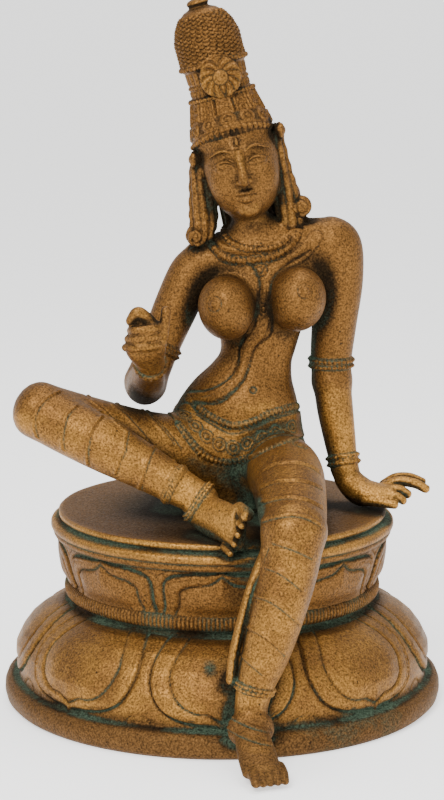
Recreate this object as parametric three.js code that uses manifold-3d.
// A goddess seated at ease on a double lotus pedestal, in cast bronze.
// Millimetres, +Z up. The figure faces -Y and +X is the viewer's right.
// The origin is the centre of the pedestal's underside.
import * as THREE from "three";
import { mergeVertices } from "three/addons/utils/BufferGeometryUtils.js";
import Module from "manifold-3d";

const wasm = await Module();
wasm.setup();

// Pedestal
const PLATE_RADIUS = 96;
const PLATE_HEIGHT = 11;
const LOWER_LOTUS_RADIUS = 90.5;
const LOWER_LOTUS_TOP = 43.4;
const NECK_RADIUS = 65.5;
const UPPER_LOTUS_BASE = 53.8;
const UPPER_LOTUS_TOP = 72.4;
const RIM_RADIUS = 75;
const SEAT_RADIUS = 71.5;
const SEAT_HEIGHT = 84;
const SEAT_LIP = 3.2;
const PETALS = 8;
const PETAL_RELIEF = 1.8;
const SEGMENTS_PER_PETAL = 6;

// Figure
const FIGURE_HEIGHT = 218; // from the seat to the knob of the crown
const SEAT_GAP = 0.3; // between the figure and the seat that carries it
const SIDE_GAP = 0.5; // between the hanging leg or hand and the pedestal's side
const FLOOR_GAP = 1; // under the toes of the hanging foot
const KNEE_AHEAD = 13; // from the edge of the seat to the middle of the hanging knee
const ANKLE_AHEAD = 7.5; // from the lower lotus to the middle of the hanging ankle
const FOOT_REACH = 34; // from the hanging ankle to the tip of its toes
const PALM_INSET = 9; // from the edge of the seat to the middle of the resting palm

// The body's stations below are measured on a figure of this height, from the seat up
const MEASURED_HEIGHT = 218;
const K = FIGURE_HEIGHT / MEASURED_HEIGHT;

const FRONT = [0, -1, 0];
const BRONZE = { color: 0x8a6234, roughness: 0.42, metalness: 0.85 };

const mix = (a, b, t) => a + (b - a) * t;
const clamp = (t) => Math.min(1, Math.max(0, t));
const ease = (t) => clamp(t) ** 2 * (3 - 2 * clamp(t));
const vector = (p) => new THREE.Vector3(...p);
const degrees = THREE.MathUtils.degToRad;

// A closed geometry as a solid that can be joined and cut
function solid(geometry) {
  const positions = (geometry.index ? geometry.toNonIndexed() : geometry).getAttribute("position");
  const merged = mergeVertices(new THREE.BufferGeometry().setAttribute("position", positions), 1e-4);
  return new wasm.Manifold(
    new wasm.Mesh({
      numProp: 3,
      vertProperties: new Float32Array(merged.attributes.position.array),
      triVerts: new Uint32Array(merged.index.array),
    }),
  );
}

const join = (solids) => solids.reduce((whole, piece) => whole.add(piece));

// A solid as a geometry
function geometryOf(shape) {
  const mesh = shape.getMesh();
  const geometry = new THREE.BufferGeometry();
  geometry.setAttribute("position", new THREE.BufferAttribute(mesh.vertProperties, 3));
  return geometry.setIndex(new THREE.BufferAttribute(mesh.triVerts, 1));
}

// A closed skin over rings of points that run anticlockwise seen from the last pole
function skin(rings, firstPole, lastPole) {
  const sides = rings[0].length;
  const points = [firstPole, ...rings.flat(), lastPole];
  const corner = (ring, side) => 1 + ring * sides + (side % sides);
  const index = [];
  for (let s = 0; s < sides; s++) {
    index.push(0, corner(0, s + 1), corner(0, s));
    index.push(points.length - 1, corner(rings.length - 1, s), corner(rings.length - 1, s + 1));
    for (let r = 0; r < rings.length - 1; r++) {
      index.push(corner(r, s), corner(r, s + 1), corner(r + 1, s + 1));
      index.push(corner(r, s), corner(r + 1, s + 1), corner(r + 1, s));
    }
  }
  return new THREE.BufferGeometry().setFromPoints(points).setIndex(index);
}

// A closed skin over rings of points that come back to the first ring
function loopSkin(rings) {
  const sides = rings[0].length;
  const corner = (ring, side) => (ring % rings.length) * sides + (side % sides);
  const index = [];
  rings.forEach((_, r) => {
    for (let s = 0; s < sides; s++) {
      index.push(corner(r, s), corner(r, s + 1), corner(r + 1, s + 1));
      index.push(corner(r, s), corner(r + 1, s + 1), corner(r + 1, s));
    }
  });
  return new THREE.BufferGeometry().setFromPoints(rings.flat()).setIndex(index);
}

const curveThrough = (points) => new THREE.CatmullRomCurve3(points, false, "catmullrom", 0.5);
const lineOf = (stations) => curveThrough(stations.map(([x, y, z]) => vector([x, y, z])));
const girthOf = (stations) =>
  curveThrough(stations.map(([, , , wide, deep = wide]) => vector([wide, deep, 0])));

// A tube with round ends through stations [x, y, z, half width, half depth].
// Depth is measured towards `facing`, width across it. Level sections stay horizontal.
// A band [share of the length, length, height] is a ring that stands out all round the tube.
function limb(stations, { sides = 8, facing = FRONT, dome = 0.8, level = false, bands = [] } = {}) {
  const line = lineOf(stations);
  const girth = girthOf(stations);
  const section = (t, swell, shrink, push) => {
    const along = level ? vector([0, 0, 1]) : line.getTangent(t);
    const across = vector(facing).cross(along).normalize();
    const deep = along.clone().cross(across);
    const size = girth.getPoint(t).addScalar(swell);
    const centre = line.getPoint(t).addScaledVector(along, push * Math.min(size.x, size.y));
    return Array.from({ length: sides }, (_, s) => {
      const a = (2 * Math.PI * s) / sides;
      return centre.clone()
        .addScaledVector(across, Math.cos(a) * size.x * shrink)
        .addScaledVector(deep, Math.sin(a) * size.y * shrink);
    });
  };
  const raised = bands.map(([share, tall, out]) => {
    const half = (tall / 2) * (0.02 / line.getPoint(share).distanceTo(line.getPoint(share - 0.02)));
    return [[share - half, 0], [share - half * 0.6, out], [share + half * 0.6, out], [share + half, 0]];
  });
  const clear = ([t]) => raised.every((band) => t < band[0][0] - 0.01 || t > band[3][0] + 0.01);
  const plain = stations.map((_, i) => [i / (stations.length - 1), 0]).filter(clear);
  const rings = [
    section(0, 0, 0.7, -dome * 0.7),
    ...[...plain, ...raised.flat()].sort((m, n) => m[0] - n[0]).map(([t, swell]) => section(t, swell, 1, 0)),
    section(1, 0, 0.7, dome * 0.7),
  ];
  return solid(skin(rings, section(0, 0, 0, -dome)[0], section(1, 0, 0, dome)[0]));
}

// An ellipsoid turned by `turn` degrees about X, Y and Z
function ball([x, y, z], radii, { turn = [0, 0, 0], around = 10, up = 6 } = {}) {
  const geometry = new THREE.SphereGeometry(1, around, up);
  geometry.rotateX(Math.PI / 2).scale(...radii);
  geometry.applyMatrix4(new THREE.Matrix4().makeRotationFromEuler(new THREE.Euler(...turn.map(degrees))));
  return solid(geometry.translate(x, y, z));
}

// Where a line from outside, running along `direction` towards `target`, first meets a solid
function contactOn(shape) {
  const mesh = new THREE.Mesh(geometryOf(shape), new THREE.MeshBasicMaterial({ side: THREE.DoubleSide }));
  const caster = new THREE.Raycaster();
  return (target, direction) => {
    const out = vector(direction).normalize();
    caster.set(vector(target).addScaledVector(out, 500), out.clone().negate());
    const hit = caster.intersectObject(mesh)[0];
    return hit ? hit.point : vector(target);
  };
}

// A strip that lies on a surface: its points, the outward direction at each, its width and thickness
function strip(points, outs, wide, thick, closed = false) {
  const last = points.length - 1;
  const rings = points.map((point, i) => {
    const before = points[closed ? (i + last) % (last + 1) : Math.max(0, i - 1)];
    const after = points[closed ? (i + 1) % (last + 1) : Math.min(last, i + 1)];
    const along = after.clone().sub(before).normalize();
    const across = along.clone().cross(outs[i]).normalize();
    const out = across.clone().cross(along);
    const taper = !closed && (i === 0 || i === last) ? 0.7 : 1;
    return [[-1, -1], [-0.8, 1], [0.8, 1], [1, -1]].map(([side, rise]) =>
      point.clone()
        .addScaledVector(across, side * (wide / 2) * taper)
        .addScaledVector(out, rise * thick * taper),
    );
  });
  return solid(closed ? loopSkin(rings) : skin(rings, points[0], points[last]));
}

// Pedestal

// Side of the pedestal from the underside up to the seat, as [radius, height, lotus, share of the petal].
// A petal's share is 0 at its root and 1 at its tip: the lower lotus hangs down, the upper one stands up.
function pedestalSide() {
  const depth = LOWER_LOTUS_TOP - PLATE_HEIGHT;
  const lower = [[0.03, 1], [0.2, 1], [0.38, 0.985], [0.55, 0.955], [0.7, 0.915], [0.84, 0.86], [0.95, 0.795],
    [1, 0.745]];
  const rise = UPPER_LOTUS_TOP - UPPER_LOTUS_BASE;
  const upper = [[0, 0], [0.15, 0.22], [0.4, 0.5], [0.65, 0.74], [0.88, 0.9], [1, 1]];
  const rimFoot = UPPER_LOTUS_TOP + 0.5;
  const rimTop = SEAT_HEIGHT - SEAT_LIP - 0.8;
  const rim = [[-1.4, 0], [0, 0.3], [-0.2, 0.7], [-2.2, 1]];
  return [
    [PLATE_RADIUS - 2.4, 0], [PLATE_RADIUS, 0.4 * PLATE_HEIGHT], [PLATE_RADIUS - 0.6, 0.75 * PLATE_HEIGHT],
    [PLATE_RADIUS - 4, PLATE_HEIGHT],
    ...lower.map(([h, r]) => [LOWER_LOTUS_RADIUS * r, PLATE_HEIGHT + 0.3 + h * depth, "lower", 1 - h]),
    [NECK_RADIUS, LOWER_LOTUS_TOP + 1.6],
    [NECK_RADIUS + 1.8, LOWER_LOTUS_TOP + 3.2], [NECK_RADIUS + 2.6, UPPER_LOTUS_BASE - 2],
    ...upper.map(([h, r]) => [
      mix(NECK_RADIUS + 2, RIM_RADIUS - 2.4, r), UPPER_LOTUS_BASE + h * rise, "upper", h,
    ]),
    ...rim.map(([r, h]) => [RIM_RADIUS + r, mix(rimFoot, rimTop, h)]),
    [SEAT_RADIUS - 0.8, SEAT_HEIGHT - SEAT_LIP], [SEAT_RADIUS, SEAT_HEIGHT - SEAT_LIP + 0.6],
    [SEAT_RADIUS - 0.3, SEAT_HEIGHT],
  ];
}

// How far a petal stands out, from 0 to 1, at `side` (0 on its midline, 1 between two petals) and at
// `share` of its length: a low step inside an ogee outline, and a pillow inside a second outline
function petalRelief(side, share) {
  const outline = (width, shoulder, tip) => width * (1 - ease((share - shoulder) / (tip - shoulder)) ** 0.8);
  const step = 0.35 * ease((outline(0.88, 0.58, 1.02) - side) / 0.12);
  const pillow = 0.65 * ease((outline(0.63, 0.42, 0.88) - side) / 0.35) * ease((share + 0.05) / 0.3);
  return step + pillow;
}

function pedestal() {
  const segments = PETALS * SEGMENTS_PER_PETAL;
  const rings = pedestalSide().map(([radius, height, lotus, share]) =>
    Array.from({ length: segments }, (_, s) => {
      // A petal of each lotus faces straight to the front
      const turn = (2 * Math.PI * s) / segments - Math.PI / 2;
      const side = Math.abs((((s / SEGMENTS_PER_PETAL) % 1) + 1.5) % 1 - 0.5) * 2;
      const r = radius + (lotus ? PETAL_RELIEF * (petalRelief(side, share) - 0.35) : 0);
      return new THREE.Vector3(r * Math.cos(turn), r * Math.sin(turn), height);
    }),
  );
  return solid(skin(rings, vector([0, 0, 0]), vector([0, 0, SEAT_HEIGHT])));
}

// The space that the pedestal takes, a little larger all round, which the figure keeps out of
function pedestalClearance() {
  const top = SEAT_HEIGHT + SEAT_GAP;
  const outline = pedestalSide().slice(0, -1).map(([r, h, lotus]) => [
    r + SIDE_GAP + (lotus ? PETAL_RELIEF * 0.65 : 0), h,
  ]);
  const profile = [[0, -5], [outline[0][0], -5], ...outline, [SEAT_RADIUS + SIDE_GAP, top], [0, top]];
  const points = profile.map(([r, h]) => new THREE.Vector2(r, h));
  return solid(new THREE.LatheGeometry(points, PETALS * SEGMENTS_PER_PETAL).rotateX(Math.PI / 2));
}

// Figure

// Stations measured on the figure, [x, y, height above the seat, half width, half depth], at the real size
const body = (stations) =>
  stations.map(([x, y, h, ...girth]) => [x * K, y * K, SEAT_HEIGHT + h * K, ...girth.map((g) => g * K)]);
const spot = (x, y, h) => body([[x, y, h]])[0];
const sized = (...radii) => radii.map((r) => r * K);

const torso = join([
  limb(body([
    [6.5, 4, 4, 28, 20], [5.5, 3, 22, 30.5, 20], [5.5, 3, 34, 29, 18.5], [6.5, 2.5, 45, 26, 16],
    [9, 2, 55, 21.5, 13.5], [13, 2, 63, 17.2, 11.8], [15.6, 2.5, 69, 16.2, 11.3], [16.5, 3, 79, 18.3, 12.5],
    [17.2, 4, 92, 21.6, 13.5], [18.3, 4.6, 101, 24.6, 13], [19, 5, 109, 27.5, 11], [18, 5, 115, 18, 9.5],
  ]), { sides: 12, level: true }),
  limb(body([[-8, 5, 107.5, 9, 8.4], [5, 4.5, 112, 9, 8.4], [24, 4, 117.6, 8, 8.6], [45, 6, 116, 9.4, 9]]),
    { sides: 7, facing: [0, 0, 1] }),
  limb(body([
    [16, 5, 112, 14, 10], [13.8, 3.5, 119, 9.4, 8.8], [11.8, 1.5, 127, 7.6, 7.6], [9.4, 0, 137, 8, 8],
  ]), { sides: 10 }),
  ball(spot(11.5, -3, 43), sized(19.5, 13.4, 16.5)),
  ball(spot(-8, 14, 13), sized(18, 15, 15), { around: 8 }),
  ball(spot(23, 14, 12), sized(16, 15, 14.5), { around: 8 }),
  ...[[1.8, -12, 89, -12], [32.3, -11, 92.6, 10]].map(([x, y, h, turn]) =>
    ball(spot(x, y, h), sized(12, 13.2, 13.8), { turn: [0, turn, 0], up: 7 }),
  ),
]);

// The right arm hangs from the shoulder to an elbow beside the ribs, and its forearm comes forward
const rightUpperArm = body([
  [-9, 5, 106, 9, 9.4], [-13.5, 4.5, 101, 9.8, 10], [-20, 2.5, 87, 9.6, 9.6], [-26.5, -1, 72, 8.8, 8.8],
  [-33, -5, 56, 8.8, 8.8],
]);
const rightForearm = body([
  [-33.2, -6, 54.5, 8.6], [-32, -20, 60, 7.6], [-30.2, -34, 66.5, 6.2], [-29.5, -43, 71, 5.6],
]);
// The left arm is straight and props the body
const leftUpperArm = body([
  [44, 5, 115.5, 9.4, 9.6], [48.8, 5.5, 113.4, 11.4, 10.8], [50.6, 6, 99, 10.5, 10], [48.8, 7, 80, 9.8, 9.6],
  [47.6, 8, 64, 9, 9], [48, 7.5, 54, 8.4, 8.6],
]);
const leftForearm = body([
  [48, 7.5, 54, 8.2, 8.4], [49.4, 5, 42, 7.9, 8], [51.6, 2.5, 28, 6.9, 7], [53.4, 0, 17, 5.8, 6.2],
]);

function arms() {
  return join([
    limb(rightUpperArm, { bands: [[0.78, 4, 1.2]] }),
    limb(rightForearm, { facing: [0, 0, 1], bands: [[0.9, 4.5, 1.3]] }),
    limb(leftUpperArm, { bands: [[0.83, 5, 1.3]] }),
    limb(leftForearm, { bands: [[0.9, 5, 1.6]] }),
  ]);
}

// Fingers and toes run through joints [x, y, z] and taper from the radius at the root
const digit = (joints, radius) =>
  limb(joints.map(([x, y, z], i) => [x, y, z, radius * K * mix(1, 0.76, i / (joints.length - 1))]),
    { sides: 5 });

// The raised right hand: the palm faces the viewer and the fingers curl over it, one above the other
function raisedHand() {
  const palm = limb(body([
    [-29.5, -43, 70.5, 5.4, 5], [-30.5, -49, 75, 7.4, 5.4], [-31.5, -52.5, 80, 8.4, 6],
    [-31, -53, 87, 7.4, 5.6], [-30.5, -52.5, 91, 6, 4.6],
  ]));
  const curled = [0, 1, 2].map((i) => {
    const h = 79.4 + 3.5 * i;
    const tip = -39.6 + 1.1 * i;
    const joints = [[-25, -53, h + 1], [-29, -57, h + 0.6], [-35, -57.3, h + 0.1], [tip, -53.5, h - 0.6]];
    return digit(body(joints), 2.4);
  });
  return join([
    palm, ...curled,
    digit(body([[-27.5, -52, 88.5], [-31.5, -54.5, 91], [-35.5, -55, 94], [-38.4, -54, 92]]), 2.5),
    digit(body([[-25.5, -50, 78], [-24.2, -54, 84], [-24.2, -55, 89], [-23.6, -54.5, 93]]), 2.4),
  ]);
}

// The left hand lies on the seat's edge, its fingers reaching out past it
function restingHand() {
  const palmX = SEAT_RADIUS - PALM_INSET;
  const hand = (stations) => body(stations).map(([x, ...rest]) => [x + palmX - 62.5 * K, ...rest]);
  const palm = hand([
    [55.5, -1, 11.5, 6, 6.4], [61, -4, 7, 6.4, 8.2], [68, -6, 6.8, 4.6, 8.6], [73, -6, 7.4, 3.4, 8],
  ]);
  return join([
    limb([leftForearm.at(-1), ...palm], { facing: [0, -1, 0.1] }),
    digit(hand([[71, 0, 9], [76, 0.5, 12], [82, 0, 12.4], [87.5, -1, 10.6]]), 2.6),
    digit(hand([[71, -4, 9.2], [77, -4.5, 11.6], [83.5, -5, 11], [88.8, -6, 8.6]]), 2.6),
    digit(hand([[71, -8.5, 8], [76.5, -9, 9], [80.6, -9.5, 7]]), 2.6),
    digit(hand([[71, -12, 6.6], [75, -13, 7], [78.4, -13.5, 5]]), 2.4),
    digit(hand([[62, -11, 5], [69, -14.5, 4.6], [74.5, -16, 4]]), 2.6),
  ]);
}

const bentThigh = limb(body([
  [4, 2, 18, 17, 17], [-14, -7, 24, 16.4, 16.6], [-36, -17, 33, 14.2, 14.2], [-58, -27.5, 41.5, 12.2, 12.2],
  [-77, -33.5, 49, 11.6, 11.6],
]), { sides: 10, facing: [0, 0, 1] });
const bentShin = body([
  [-78, -34, 49, 11.4, 11.4], [-65, -38, 43, 11.7, 11.7], [-49, -42.5, 35.5, 11.2, 11.2],
  [-33, -46.5, 27.5, 9.6, 9.6], [-19, -50, 20, 8, 8], [-7.5, -53, 14, 7, 7],
]);

// The bent leg crosses the seat. Its foot lies on the outer edge with the sole towards the viewer
function bentLeg() {
  const foot = limb(body([
    [-8.5, -53, 10, 8, 7], [-3, -60, 8.5, 9, 6.4], [2.5, -68, 7.6, 9.6, 5.4], [6, -74, 7.4, 9.2, 4],
  ]), { facing: [0.85, 0.5, 0.1] });
  const toes = [0, 1, 2, 3, 4].map((i) => {
    const h = 14.6 - 4 * i;
    const x = 8.6 - 1.6 * i;
    const joints = [[x - 1.5, -71, h + 0.4], [x + 1, -77, h], [x + 1.2, -80.5 + 0.5 * i, h - 0.4]];
    return digit(body(joints), i === 0 ? 3.1 : 2.5 - 0.12 * i);
  });
  const shin = limb(bentShin, { sides: 10, facing: [0, 0, 1], bands: [[0.79, 5, 1.1], [0.95, 4, 1.8]] });
  return join([bentThigh, shin, foot, ...toes]);
}

// The hanging leg follows the pedestal: over the edge of the seat, down past the lower lotus and out
const kneeY = -(SEAT_RADIUS + KNEE_AHEAD);
const ankleY = -(LOWER_LOTUS_RADIUS + ANKLE_AHEAD);
const ankleHeight = 23;
const kneeHeight = SEAT_HEIGHT + 9.5 * K;
const hangingThighStations = [
  [23 * K, 2, SEAT_HEIGHT + 16 * K, 15 * K, 15.4 * K],
  [27 * K, kneeY * 0.36, SEAT_HEIGHT + 20 * K, 15.8 * K, 15.8 * K],
  [28.5 * K, kneeY * 0.72, SEAT_HEIGHT + 15.5 * K, 14.6 * K, 14 * K],
  [29 * K, kneeY, kneeHeight, 13 * K, 12.6 * K],
];
const hangingThigh = limb(hangingThighStations, { sides: 10, facing: [0, 0, 1] });
// Down the shin: share of the way, x, half width and half depth
const hangingShin = [
  [0, 29, 12.8, 12.6], [0.24, 26.4, 11.7, 12.4], [0.45, 22.4, 11, 12], [0.68, 17.6, 9.6, 10.2],
  [0.86, 13.4, 7.6, 8.2], [1, 11.6, 6.6, 7],
].map(([t, x, wide, deep]) => [
  x * K, mix(kneeY, ankleY, ease(t * 0.8 + 0.2)), mix(kneeHeight, ankleHeight, t), wide * K, deep * K,
]);

function hangingLeg() {
  const toeTop = FLOOR_GAP + 3.4;
  const foot = [
    [11 * K, ankleY + 3, ankleHeight - 5, 6.6 * K, 6.8 * K],
    [12 * K, ankleY - 7, ankleHeight - 9, 7 * K, 6.2 * K],
    [13.8 * K, ankleY - 16, mix(ankleHeight, toeTop, 0.74), 7.8 * K, 4.6 * K],
    [15.6 * K, ankleY - 25, mix(ankleHeight, toeTop, 0.96), 7.8 * K, 3.3 * K],
  ];
  const toes = [0, 1, 2, 3, 4].map((i) => {
    const x = (11.2 + 2.9 * i) * K;
    const radius = i === 0 ? 2.7 : 2.1;
    const tip = ankleY - FOOT_REACH + 0.4 + i;
    return digit([
      [x, tip + 10, toeTop + 1.4], [x + 1.4, tip + 4.5, toeTop + 0.6], [x + 2, tip, FLOOR_GAP + radius * K],
    ], radius);
  });
  // The edge of the cloth stands off the shin on the viewer's left
  const shinLine = lineOf(hangingShin);
  const hem = [[0.05, -9], [0.22, -12.6], [0.42, -13.2], [0.62, -12.4], [0.78, -10]].map(([t, side]) => {
    const at = shinLine.getPoint(t);
    return [at.x + side * K, at.y + 2, at.z, 2.4 * K, 4 * K];
  });
  return join([
    hangingThigh, limb(hangingShin, { sides: 10, bands: [[0.82, 3.4, 1]] }), limb(hem, { sides: 5 }),
    limb(foot, { facing: [0, -0.4, 1], bands: [[0.2, 6, 2.6]] }), ...toes,
  ]);
}

// The head leans to the viewer's left. Its own frame is x across, y back and z up from its middle
const HEAD_LEAN = 11;
const CROWN_LEAN = 15;
const headPoint = (x, y, z) => {
  const a = degrees(HEAD_LEAN);
  return spot(8 + x * Math.cos(a) - z * Math.sin(a), 0.5 + y, 149.5 + x * Math.sin(a) + z * Math.cos(a));
};

function head() {
  const turn = [0, -HEAD_LEAN, 0];
  const feature = (x, y, z, radii, around = 6, up = 4) =>
    ball(headPoint(x, y, z), sized(...radii), { turn, around, up });
  const nose = limb([
    [...headPoint(0, -17.6, 4), 1.2 * K], [...headPoint(0, -19.6, -3), 1.9 * K],
    [...headPoint(0, -19.6, -6.4), 2.9 * K, 2.2 * K],
  ], { sides: 5 });
  return join([
    feature(0, 0, 0, [16.6, 18, 23], 14, 9),
    feature(0, -5, -12.5, [11.6, 11, 9.6], 8, 5),
    nose,
    feature(0, -16.3, -12.2, [4.6, 2.4, 1.4]),
    feature(0, -15.8, -14.6, [3.6, 2.4, 1.5]),
    feature(0, -13.4, -19.4, [3.8, 3, 2.6]),
    ...[-1, 1].map((side) => feature(side * 6.8, -15.4, 1.2, [4.2, 2.2, 2])),
    // Flowers over the ears
    feature(-19, -3, 5.5, [3, 4.2, 3.6]),
    feature(18.8, -3, 10.8, [3, 4.2, 3.6]),
  ]);
}

// The crown: a ribbed tiara, a band with a round medallion, a domed top of curls and a knob
function crown() {
  const ribs = 10;
  const segments = ribs * 2;
  const lean = degrees(CROWN_LEAN);
  // Radius, height above the brow, depth of the ribs and how far the front is lifted
  const profile = [
    [16.6, -4, 0, 3], [17.8, -1, 0, 5.5], [17.5, 3, 0.5, 5], [16.1, 9, 0.7, 3], [13.7, 18.2, 0.6, 0.5],
    [12.6, 19.6, 0, 0], [12.8, 30.2, 0, 0], [14.2, 32.2, 0.4, 0], [13.9, 43, 0.5, 0], [12.2, 48.4, 0.5, 0],
    [10, 52, 0.4, 0], [6.8, 54.8, 0, 0], [4, 56, 0, 0], [4.8, 57.8, 0, 0], [2.4, 59.7, 0, 0],
  ];
  const place = (x, y, h) => spot(
    4.6 + x * Math.cos(lean) - h * Math.sin(lean), 3 + y, 161 + x * Math.sin(lean) + h * Math.cos(lean),
  );
  const rings = profile.map(([radius, height, depth, lift]) =>
    Array.from({ length: segments }, (_, s) => {
      const a = (2 * Math.PI * s) / segments;
      const r = radius + depth * Math.cos(ribs * a);
      return vector(place(r * Math.cos(a), r * Math.sin(a), height + lift * clamp(-Math.sin(a)) ** 1.5));
    }),
  );
  const turn = [0, -CROWN_LEAN, 0];
  return join([
    solid(skin(rings, vector(place(0, 0, -4)), vector(place(0, 0, 60)))),
    ball(place(1.5, -13.8, 26), sized(8.6, 2.2, 8.6), { turn, up: 4 }),
    ball(place(1.5, -15.6, 26), sized(2.8, 2, 2.8), { around: 6, up: 4 }),
  ]);
}

// Long locks hang behind the ears to the shoulders and end in a curl
function locks() {
  const strand = (points, curl) => join([
    limb(body(points), { sides: 6 }),
    ball(spot(...curl), sized(4.6, 4.4, 4.6), { around: 8, up: 5 }),
  ]);
  return join([
    strand([[-4, 3, 160, 6, 6], [-7.5, 3, 147, 6, 6], [-8, 2, 136, 5.8, 6], [-8, 0.5, 126, 6, 5.6],
      [-8.6, -1, 119, 5, 5]], [-11, -2.5, 118.5]),
    strand([[20, 3, 160, 6, 6], [23, 3.5, 150, 5.6, 6], [25.4, 3, 141, 6, 6], [28, 3, 133, 6, 6],
      [30, 3, 125, 6, 5.6]], [33.8, 0, 131]),
    // The hair at the nape
    limb(body([[7, 13, 155, 13, 7], [9, 13, 140, 12, 6.6], [12, 11, 126, 12, 6.6], [15, 10, 115, 13, 6]])),
  ]);
}

// Jewellery lies on the body: two necklaces, the girdle with its knot, and the sash
function jewellery() {
  const onTorso = contactOn(torso);
  const onLap = contactOn(join([torso, bentThigh, hangingThigh]));
  // A strip through [x, height, y] with lines that come from the front, or from the back where y is over 4.
  // The lines from the front slope down by `slope`.
  const laid = (touch, line, slope, wide, thick, closed) => {
    const outs = line.map(([, , y = -4]) => (y > 4 ? [0, 1, 0.2] : [0, -1, slope]));
    const points = line.map(([x, h, y = -4], i) => touch(spot(x, y, h), outs[i]));
    return strip(points, outs.map((out) => vector(out).normalize()), wide * K, thick * K, closed);
  };
  const turns = Array.from({ length: 14 }, (_, i) => (2 * Math.PI * i) / 14);
  const neckOuts = turns.map((a) => [Math.cos(a), Math.sin(a), 0.75 - 0.5 * clamp(-Math.sin(a)) ** 2]);
  const necklace = strip(
    neckOuts.map((out) => onTorso(spot(15, 3.5, 116), out)),
    neckOuts.map((out) => vector(out).normalize()), 3.4 * K, 1.2 * K, true,
  );
  const collar = [
    [-4.6, 113.6], [0, 107.8], [7.5, 105.4], [15, 105.6], [22.7, 107], [28, 110], [32, 114], [32.4, 119],
    [27, 118, 9], [14, 113, 9], [2, 111, 9], [-3.6, 113.4, 9],
  ];
  const back = [[33, 45, 6], [16, 46, 6], [-2, 46, 6], [-18, 45, 6]];
  const upperBeads = [
    [-19, 48], [-9.6, 45], [-3.6, 41], [4.4, 37.6], [12, 39.4], [22, 43.6], [33, 45], ...back,
  ];
  const belt = [[-21, 41], [-14, 38.4], [-7, 33], [1.5, 30.6], [9, 31], [18, 34], [27, 37], [33, 38.4]];
  const lowerBeads = [[-20, 34], [-13, 29.5], [-7, 25.4], [2.6, 23.8], [11.8, 25.7], [21.8, 30], [31.8, 33]];
  const sash = [
    [40, 117], [36, 110], [29, 106], [18.6, 100], [18, 90], [18, 82], [13.5, 74], [4.6, 60], [-9, 47],
  ];
  return join([
    necklace,
    laid(onTorso, collar, 0.3, 3.6, 1.2, true),
    laid(onTorso, upperBeads, 0.2, 3, 1.4, true),
    laid(onLap, belt, 0.9, 11, 1, false),
    laid(onLap, lowerBeads, 0.9, 3, 1.5, false),
    laid(onTorso, sash, 0, 5, 0.9, false),
    ball([...onTorso(spot(17.5, 0, 104), FRONT)], sized(2.6, 1.6, 2.6), { around: 6, up: 4 }),
    // The knot of the girdle over the hanging thigh
    ball(spot(32.5, -12, 27), sized(4.6, 4, 5), { around: 8, up: 5 }),
    limb(body([[32, -12, 25, 4.2, 3.2], [33.6, -14, 19, 4, 3], [35.4, -15, 12, 3, 2.4]]), { sides: 5 }),
  ]);
}

const part = new THREE.Group();
function add(name, shape) {
  const geometry = geometryOf(shape);
  geometry.computeVertexNormals();
  const node = new THREE.Mesh(geometry, new THREE.MeshStandardMaterial(BRONZE));
  node.name = name;
  part.add(node);
}

const pieces = [
  torso, arms(), raisedHand(), restingHand(), bentLeg(), hangingLeg(), head(), crown(), locks(), jewellery(),
];
add("lotus_pedestal", pedestal());
add("figure", join(pieces).subtract(pedestalClearance()));

export default part;
